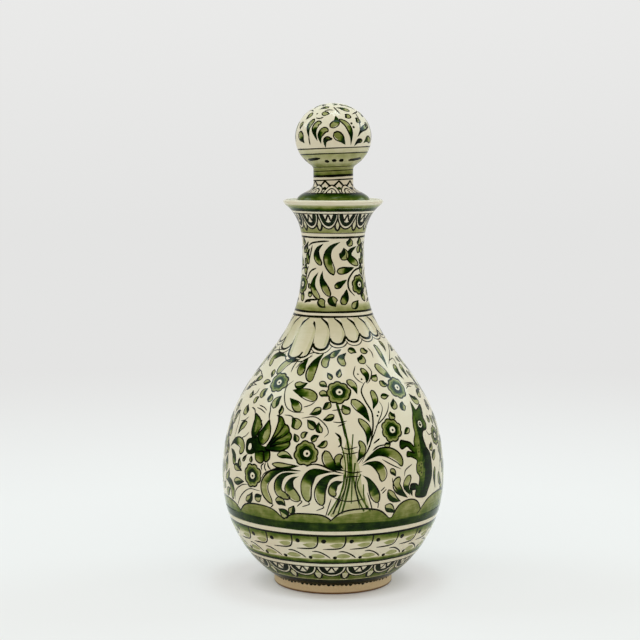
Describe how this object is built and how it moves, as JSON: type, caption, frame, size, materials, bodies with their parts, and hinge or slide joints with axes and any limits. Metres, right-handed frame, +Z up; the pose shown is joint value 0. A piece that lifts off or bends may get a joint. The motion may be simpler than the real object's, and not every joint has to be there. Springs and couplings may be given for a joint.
{
  "type": "ceramic carafe",
  "caption": "Round-bellied glazed earthenware carafe with a slender neck, flared lip and foot ring, closed by a loose ball-topped stopper that lifts out of the mouth.",
  "frame": {"origin": "on the table, under the middle of the foot ring", "axes": "+Z up along the carafe's axis of turning; X and Y lie in the table"},
  "size_m": [0.135, 0.135, 0.2907],
  "materials": {
    "painted_body_glaze": "glossy clear glaze over green and dark brushwork on an ivory ground, bare clay under the foot",
    "painted_stopper_glaze": "glossy clear glaze over green and dark brushwork, bare clay on the plug"
  },
  "bodies": {
    "body": {"carafe_body": "painted_body_glaze"},
    "stopper": {"stopper": "painted_stopper_glaze"}
  },
  "joints": [
    {"name": "stopper_lift", "type": "slide", "parent": "body", "child": "stopper", "axis": [0, 0, 1], "range_m": [0, 0.07]}
  ]
}
